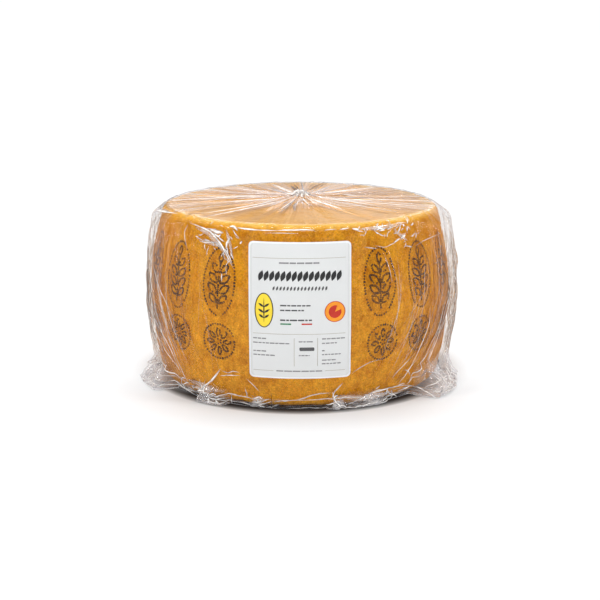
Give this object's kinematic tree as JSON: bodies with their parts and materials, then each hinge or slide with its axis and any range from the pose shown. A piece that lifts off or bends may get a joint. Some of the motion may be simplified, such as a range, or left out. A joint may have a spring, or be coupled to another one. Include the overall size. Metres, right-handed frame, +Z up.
{
  "type": "wrapped hard cheese wheel",
  "caption": "Whole wheel of hard, grainy grana cheese, drum-shaped with a convex side, wrapped in gathered clear film with a curved paper label on the front.",
  "frame": {"origin": "on the wheel's axis, at the level of the surface that the wrapped wheel stands on", "axes": "+Z up along the wheel's axis, -Y out through the label at the front, +X to the right as seen from the front"},
  "size_m": [0.4447, 0.4274, 0.2476],
  "materials": {
    "rind": "golden ochre natural rind, slightly oily, finely grained, with dark dotted marks",
    "clear_film": "clear glossy wrapping film with sharp creases",
    "label_paper": "smooth white paper with print in black, fawn, yellow, orange, red and green"
  },
  "bodies": {
    "root": {"cheese_wheel": "rind", "film_wrap": "clear_film", "label": "label_paper"}
  },
  "joints": []
}
